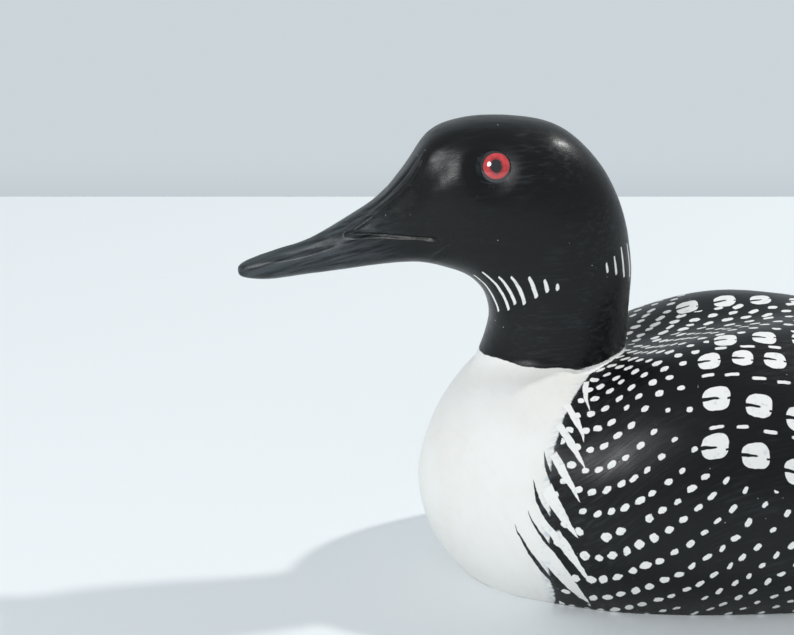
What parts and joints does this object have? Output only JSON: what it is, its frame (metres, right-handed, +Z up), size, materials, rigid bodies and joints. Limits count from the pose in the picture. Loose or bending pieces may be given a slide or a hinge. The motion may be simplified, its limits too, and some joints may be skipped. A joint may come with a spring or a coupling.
{
  "type": "carved wooden loon figurine",
  "caption": "Carved and painted wooden loon, resting on its flat underside, with a raised neck, a long pointed bill, folded wings and domed red eyes.",
  "frame": {"origin": "under the middle of the figure's length and width, on the plane it stands on", "axes": "+Z up; the bird faces -X and its left side faces -Y, so +X runs to the tail"},
  "size_m": [0.296, 0.1118, 0.1444],
  "materials": {
    "painted_wood": "hand-brushed satin black with a white breast, white spots on the back and grey-black bill",
    "eye_glass": "polished red iris with a black pupil and rim, painted behind, opaque"
  },
  "bodies": {
    "root": {"carved_loon": "painted_wood", "left_eye": "eye_glass", "right_eye": "eye_glass"}
  },
  "joints": []
}
